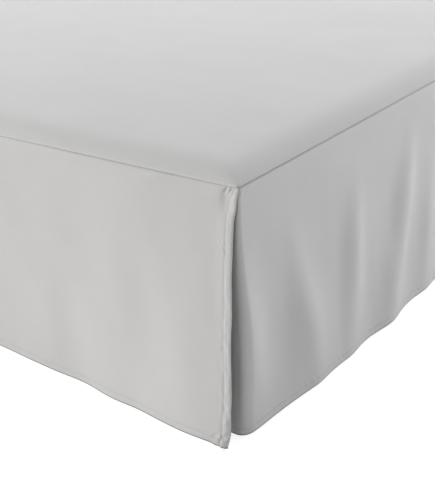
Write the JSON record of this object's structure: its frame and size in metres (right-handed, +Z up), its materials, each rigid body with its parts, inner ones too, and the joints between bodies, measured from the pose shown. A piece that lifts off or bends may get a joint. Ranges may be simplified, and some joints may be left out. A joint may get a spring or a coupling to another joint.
{
  "type": "bed skirt on a bed base",
  "caption": "Tailored bed skirt: a flat deck with hanging panels, hemmed and lapped at the foot corners, over a plain bed base on legs.",
  "frame": {"origin": "on the floor, under the middle of the whole object's box", "axes": "+Z up, +Y from the foot end to the head end, +X across the bed"},
  "size_m": [1.6243, 2.0731, 0.389],
  "materials": {
    "skirt_cloth": "matt plain-woven cloth, pale grey",
    "base_ticking": "matt upholstery cloth, off-white",
    "leg_wood": "satin-varnished brown wood"
  },
  "bodies": {
    "root": {"deck": "skirt_cloth", "foot_panel": "skirt_cloth", "side_panel_right": "skirt_cloth", "side_panel_left": "skirt_cloth", "bed_base": "base_ticking", "leg_foot_left": "leg_wood", "leg_foot_right": "leg_wood", "leg_middle_left": "leg_wood", "leg_middle_right": "leg_wood", "leg_head_left": "leg_wood", "leg_head_right": "leg_wood"}
  },
  "joints": []
}
